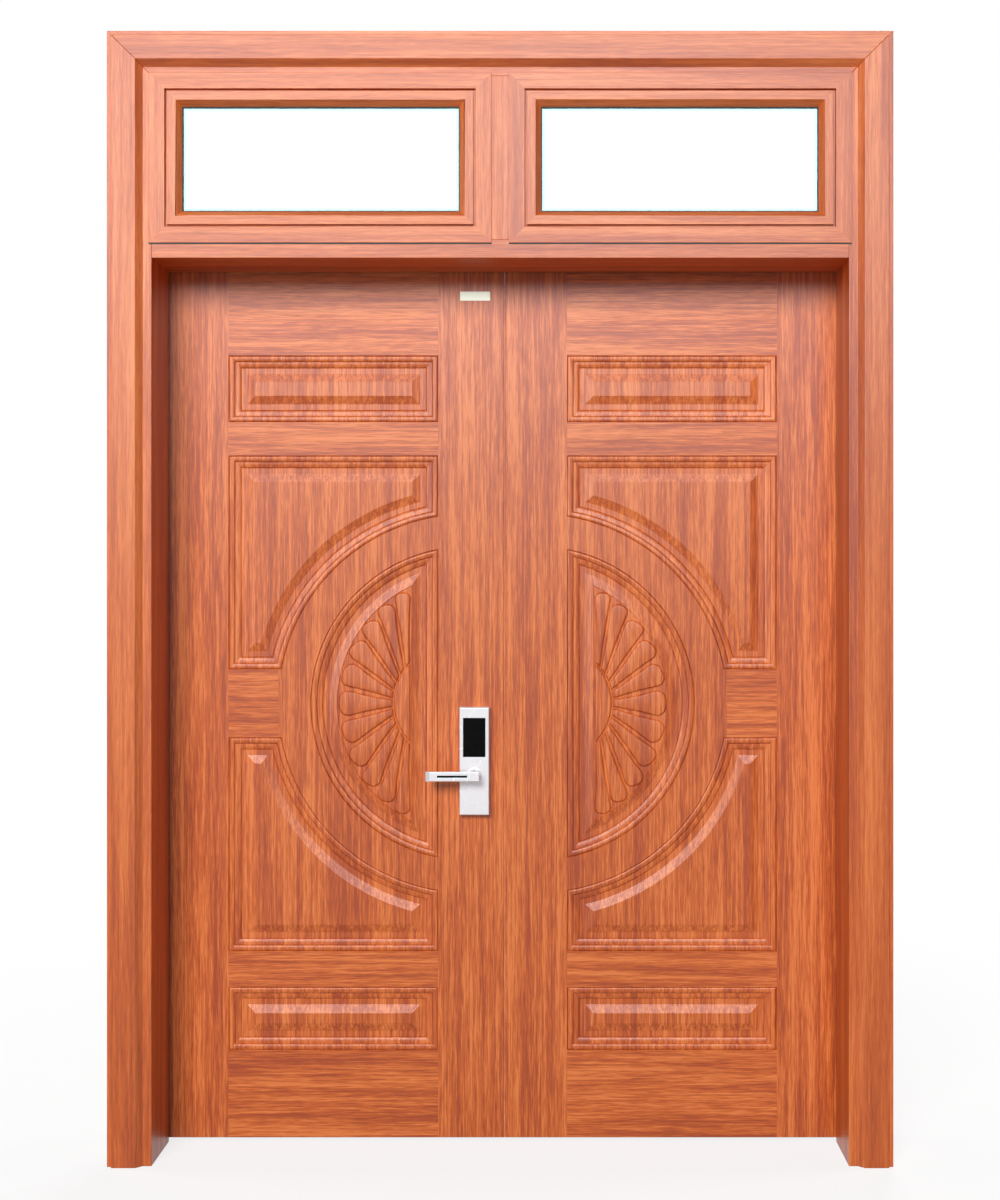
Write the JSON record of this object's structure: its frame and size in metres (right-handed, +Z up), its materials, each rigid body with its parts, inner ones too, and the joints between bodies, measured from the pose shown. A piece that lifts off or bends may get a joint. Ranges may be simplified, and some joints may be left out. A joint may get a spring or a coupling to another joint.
{
  "type": "double steel door with frame",
  "caption": "Double-leaf embossed steel door in a folded steel frame, with fixed glazed lights above, a lever lock with latch and dead bolt, and flush bolts.",
  "frame": {"origin": "on the floor, midway across the frame's width and midway in depth between the architrave's front and the inside lever's back", "axes": "+X to the right and -Y towards someone facing the outside, +Z up"},
  "size_m": [1.8, 0.318, 2.6],
  "materials": {
    "frame_finish": "glossy wood-grain transfer finish on steel",
    "leaf_finish": "glossy wood-grain transfer finish on embossed steel",
    "clear_glass": "clear float glass",
    "black_rubber": "matt",
    "hinge_steel": "satin",
    "inner_steel": "galvanised",
    "filling": "paper honeycomb",
    "lock_metal": "satin nickel",
    "black_gloss": "gloss",
    "cover_plastic": "matt",
    "bolt_steel": "zinc plated"
  },
  "bodies": {
    "frame": {"left_jamb": "frame_finish", "right_jamb": "frame_finish", "head": "frame_finish", "transom_rail": "frame_finish", "mullion": "frame_finish", "rail_seal": "black_rubber", "bolt_keeper": "bolt_steel", "left_light_frame": "frame_finish", "left_glazing_beads": "frame_finish", "left_glass_pane": "clear_glass", "left_glazing_gasket": "black_rubber", "left_jamb_seal": "black_rubber", "left_frame_hinge_halves": "hinge_steel", "right_light_frame": "frame_finish", "right_glazing_beads": "frame_finish", "right_glass_pane": "clear_glass", "right_glazing_gasket": "black_rubber", "right_jamb_seal": "black_rubber", "right_frame_hinge_halves": "hinge_steel"},
    "active_leaf": {"left_leaf_front_skin": "leaf_finish", "left_leaf_back_skin": "leaf_finish", "left_leaf_inner_frame": "inner_steel", "left_leaf_core": "filling", "left_leaf_hinge_halves": "hinge_steel", "outside_escutcheon": "lock_metal", "inside_escutcheon": "lock_metal", "reader_pane": "black_gloss", "battery_cover": "cover_plastic", "lock_case": "bolt_steel", "lock_forend": "bolt_steel"},
    "lever": {"outside_lever": "lock_metal", "lever_inlay": "black_gloss", "inside_lever": "lock_metal", "lever_spindle": "bolt_steel", "lock_follower": "bolt_steel"},
    "latch": {"latch_bolt": "bolt_steel"},
    "thumbturn": {"thumbturn": "lock_metal", "dead_bolt_crank": "bolt_steel"},
    "dead_bolt": {"dead_bolt": "bolt_steel"},
    "passive_leaf": {"right_leaf_front_skin": "leaf_finish", "right_leaf_back_skin": "leaf_finish", "right_leaf_inner_frame": "inner_steel", "right_leaf_core": "filling", "right_leaf_hinge_halves": "hinge_steel", "strike_plate": "bolt_steel", "strike_box": "bolt_steel", "top_bolt_plate": "bolt_steel", "bottom_bolt_plate": "bolt_steel"},
    "top_bolt": {"top_flush_bolt": "bolt_steel"},
    "bottom_bolt": {"bottom_flush_bolt": "bolt_steel"}
  },
  "joints": [
    {"name": "active_leaf_swing", "type": "hinge", "parent": "frame", "child": "active_leaf", "pos_m": [-0.811, 0.098, 0], "axis": [0, 0, 1], "range_deg": [0, 110]},
    {"name": "passive_leaf_swing", "type": "hinge", "parent": "frame", "child": "passive_leaf", "pos_m": [0.811, 0.098, 0], "axis": [0, 0, -1], "range_deg": [0, 110]},
    {"name": "lever_turn", "type": "hinge", "parent": "active_leaf", "child": "lever", "pos_m": [-0.067, 0.066, 0.88], "axis": [0, -1, 0], "range_deg": [0, 45], "stiffness_Nm_per_rad": 1.5, "springref_deg": -22.92},
    {"name": "latch_slide", "type": "slide", "parent": "active_leaf", "child": "latch", "axis": [-1, 0, 0], "range_m": [0, 0.012]},
    {"name": "thumbturn_turn", "type": "hinge", "parent": "active_leaf", "child": "thumbturn", "pos_m": [-0.067, 0.066, 0.955], "axis": [0, 1, 0], "range_deg": [0, 90]},
    {"name": "dead_bolt_slide", "type": "slide", "parent": "active_leaf", "child": "dead_bolt", "axis": [1, 0, 0], "range_m": [0, 0.02]},
    {"name": "top_bolt_slide", "type": "slide", "parent": "passive_leaf", "child": "top_bolt", "axis": [0, 0, 1], "range_m": [0, 0.02]},
    {"name": "bottom_bolt_slide", "type": "slide", "parent": "passive_leaf", "child": "bottom_bolt", "axis": [0, 0, -1], "range_m": [0, 0.02]}
  ],
  "couplings": [
    {"joint": "latch_slide", "follows": "lever_turn", "m_per_rad": 0.01527},
    {"joint": "dead_bolt_slide", "follows": "thumbturn_turn", "m_per_rad": 0.01273}
  ]
}
